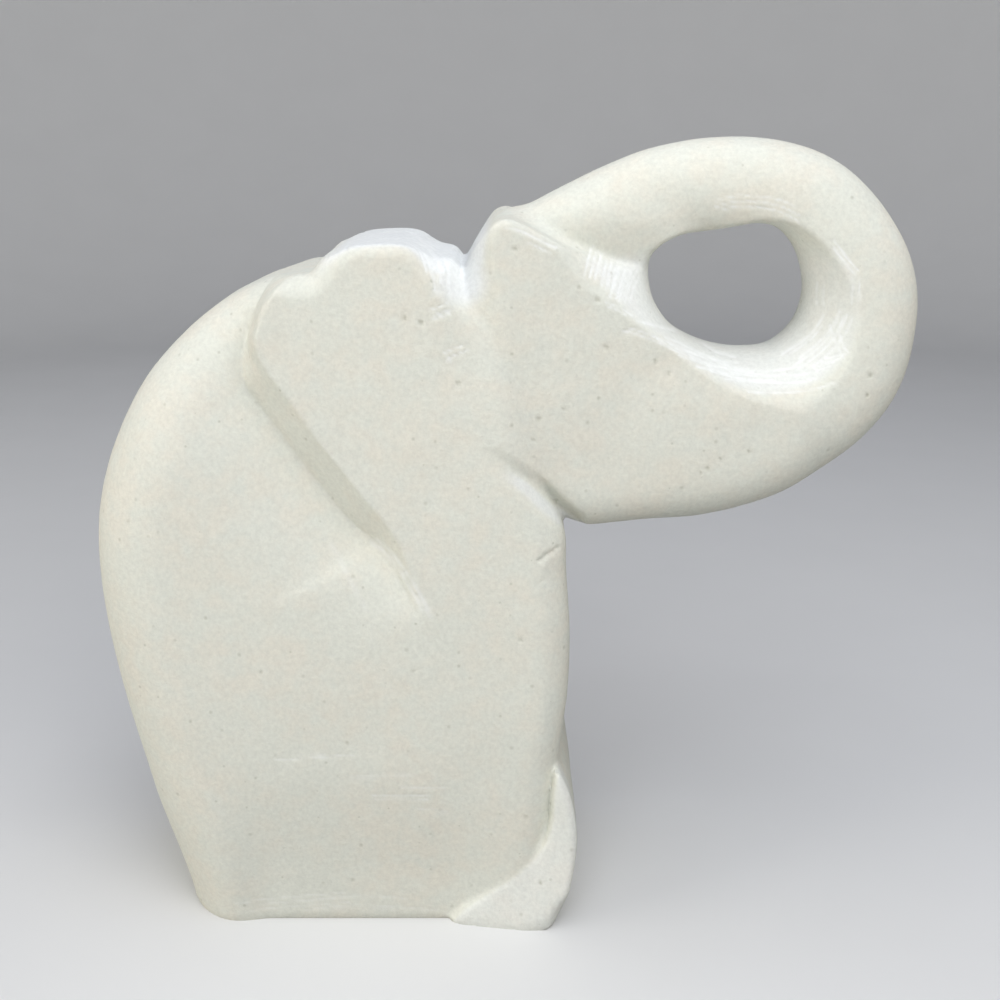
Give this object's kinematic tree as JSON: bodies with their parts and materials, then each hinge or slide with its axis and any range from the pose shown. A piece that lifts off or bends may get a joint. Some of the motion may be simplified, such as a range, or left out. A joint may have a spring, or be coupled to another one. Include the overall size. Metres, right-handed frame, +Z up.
{
  "type": "elephant figurine",
  "caption": "Carved limestone elephant in profile, its raised trunk curled back over the head to close an open ring, on a flat underside.",
  "frame": {"origin": "under the middle of the bounding box, on the plane that the figure stands on", "axes": "+Z up, +X the way the elephant faces, Y across the flanks; the carving is the same on both sides of Y = 0"},
  "size_m": [0.206, 0.0664, 0.1999],
  "materials": {
    "limestone": "dry, rubbed smooth, with rasp marks left in the hollows"
  },
  "bodies": {
    "root": {"elephant_carving": "limestone"}
  },
  "joints": []
}
